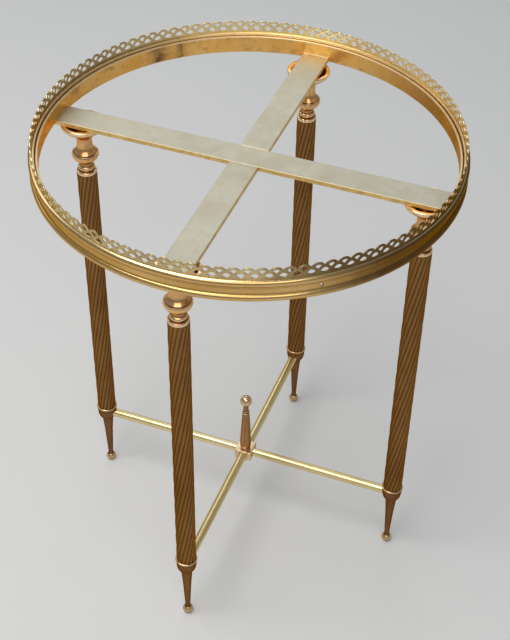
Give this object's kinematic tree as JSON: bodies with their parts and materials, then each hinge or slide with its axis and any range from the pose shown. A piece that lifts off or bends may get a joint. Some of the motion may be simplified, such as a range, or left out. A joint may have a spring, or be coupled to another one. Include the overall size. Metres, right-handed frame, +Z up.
{
  "type": "brass tray table frame",
  "caption": "Round brass side table frame with pierced gallery rim, crossed support bars, twisted reeded legs and a rod stretcher with finial; lift-in top absent.",
  "frame": {"origin": "on the floor at the centre line of the frame", "axes": "+Z up; the crossed bars lie along X and Y; front leg at -Y, right leg at +X"},
  "size_m": [0.4348, 0.4348, 0.5476],
  "materials": {
    "rim_brass": "aged satin gold",
    "hoop_brass": "tarnished orange brown",
    "bar_brass": "pale brushed",
    "solder": "bright rough fillet",
    "turned_bronze": "coppery turned, polished on the high spots",
    "tube_brass": "brown lacquered brass, dark in the grooves",
    "rod_brass": "bright polished"
  },
  "bodies": {
    "root": {"rim_hoop": "hoop_brass", "rim_moulding": "rim_brass", "gallery_strip": "rim_brass", "rim_screw": "turned_bronze", "cross_bar_left_right": "bar_brass", "cross_bar_front_back": "bar_brass", "solder_right": "solder", "solder_back": "solder", "solder_left": "solder", "solder_front": "solder", "leg_right_capital": "turned_bronze", "leg_right_tube": "tube_brass", "leg_right_foot": "turned_bronze", "leg_back_capital": "turned_bronze", "leg_back_tube": "tube_brass", "leg_back_foot": "turned_bronze", "leg_left_capital": "turned_bronze", "leg_left_tube": "tube_brass", "leg_left_foot": "turned_bronze", "leg_front_capital": "turned_bronze", "leg_front_tube": "tube_brass", "leg_front_foot": "turned_bronze", "stretcher_rod_right": "rod_brass", "stretcher_rod_back": "rod_brass", "stretcher_rod_left": "rod_brass", "stretcher_rod_front": "rod_brass", "stretcher_hub": "turned_bronze", "finial": "turned_bronze", "pendant_nut": "turned_bronze"}
  },
  "joints": []
}
